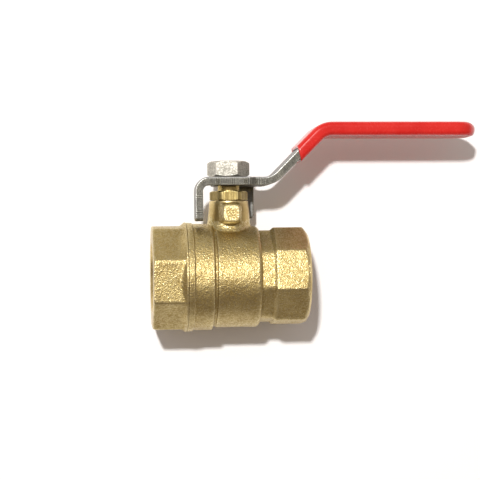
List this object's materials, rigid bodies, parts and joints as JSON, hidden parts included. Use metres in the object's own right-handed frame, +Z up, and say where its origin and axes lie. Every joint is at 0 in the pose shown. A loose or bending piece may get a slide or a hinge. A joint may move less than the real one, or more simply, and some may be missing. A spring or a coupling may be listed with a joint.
{
  "type": "ball valve",
  "caption": "Two-piece brass ball valve with female pipe threads at both ends and a cranked steel lever with a red vinyl grip that turns a quarter turn to shut.",
  "frame": {"origin": "centre of the ball, where the pipe's axis crosses the stem's axis", "axes": "+X along the pipe's axis, from the end cap towards the lever's grip; +Z up the stem, towards the lever's nut; the rest pose is open"},
  "size_m": [0.1517, 0.0502, 0.0958],
  "materials": {
    "forged_brass": "forged and sand-blasted, satin speckle",
    "turned_brass": "machined, bright",
    "ball_chrome": "polished chrome plate",
    "ptfe": "smooth white fluoropolymer",
    "lever_steel": "plated plate with sheared edges",
    "zinc_steel": "zinc plated",
    "red_vinyl": "glossy dipped vinyl"
  },
  "bodies": {
    "valve_body": {"body": "forged_brass", "end_cap": "forged_brass", "seat_left": "ptfe", "seat_right": "ptfe", "stem_thrust_washer": "ptfe", "stem_packing_lower": "ptfe", "stem_packing_upper": "ptfe", "gland_nut": "turned_brass"},
    "stem_lever": {"stem": "turned_brass", "lever": "lever_steel", "grip": "red_vinyl", "lever_nut": "zinc_steel"},
    "ball": {"ball": "ball_chrome"}
  },
  "joints": [
    {"name": "lever_turn", "type": "hinge", "parent": "valve_body", "child": "stem_lever", "pos_m": [0, 0, 0.0425], "axis": [0, 0, 1], "range_deg": [-90, 0]},
    {"name": "ball_turn", "type": "hinge", "parent": "valve_body", "child": "ball", "pos_m": [0, 0, 0], "axis": [0, 0, 1], "range_deg": [-90, 0]}
  ],
  "couplings": [
    {"joint": "ball_turn", "follows": "lever_turn", "ratio": 1}
  ]
}
